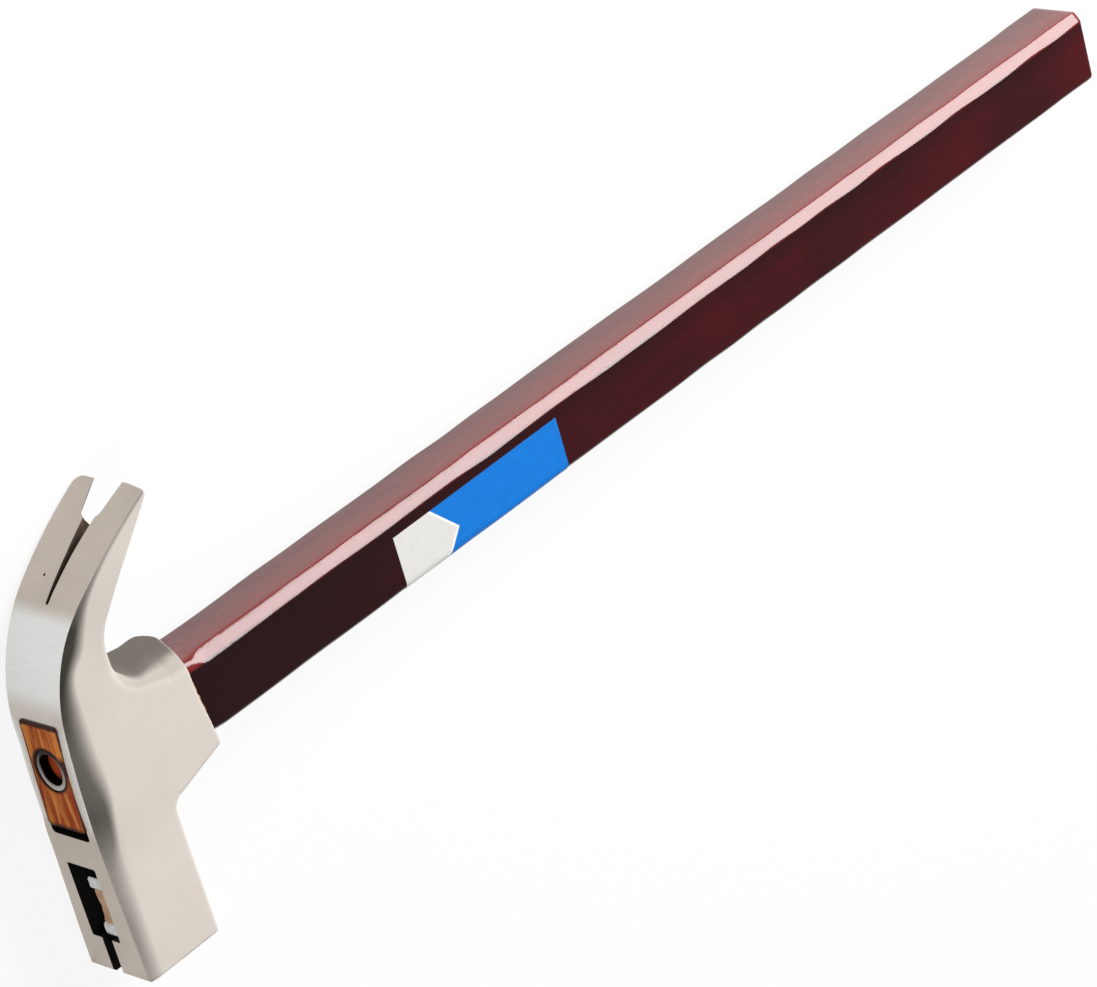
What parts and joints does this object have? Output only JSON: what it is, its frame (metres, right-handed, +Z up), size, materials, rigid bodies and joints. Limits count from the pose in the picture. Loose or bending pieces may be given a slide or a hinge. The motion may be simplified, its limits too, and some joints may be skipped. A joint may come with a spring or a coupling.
{
  "type": "claw hammer",
  "caption": "Joiner's claw hammer: forged steel head with split claws and a magnetic nail pocket on a straight lacquered wooden handle, held by a ring wedge.",
  "frame": {"origin": "middle of the footprint, on the surface that the hammer's lower cheek side faces", "axes": "+X along the handle towards the butt, +Y towards the claws, +Z up, across the cheeks"},
  "size_m": [0.4182, 0.1178, 0.026],
  "materials": {
    "head_steel": "satin, with a ground and polished top strip",
    "handle_wood": "dark wine-red gloss lacquer, bare orange end grain in the eye",
    "wedge_steel": "cut tube, bright rim",
    "magnet_nickel": "bright nickel plate",
    "resin": "cast amber-brown resin",
    "label_film": "printed film, blue and white, no lettering"
  },
  "bodies": {
    "root": {"head": "head_steel", "handle": "handle_wood", "ring_wedge": "wedge_steel", "magnet_rear": "magnet_nickel", "magnet_front": "magnet_nickel", "magnet_resin": "resin", "label": "label_film"}
  },
  "joints": []
}
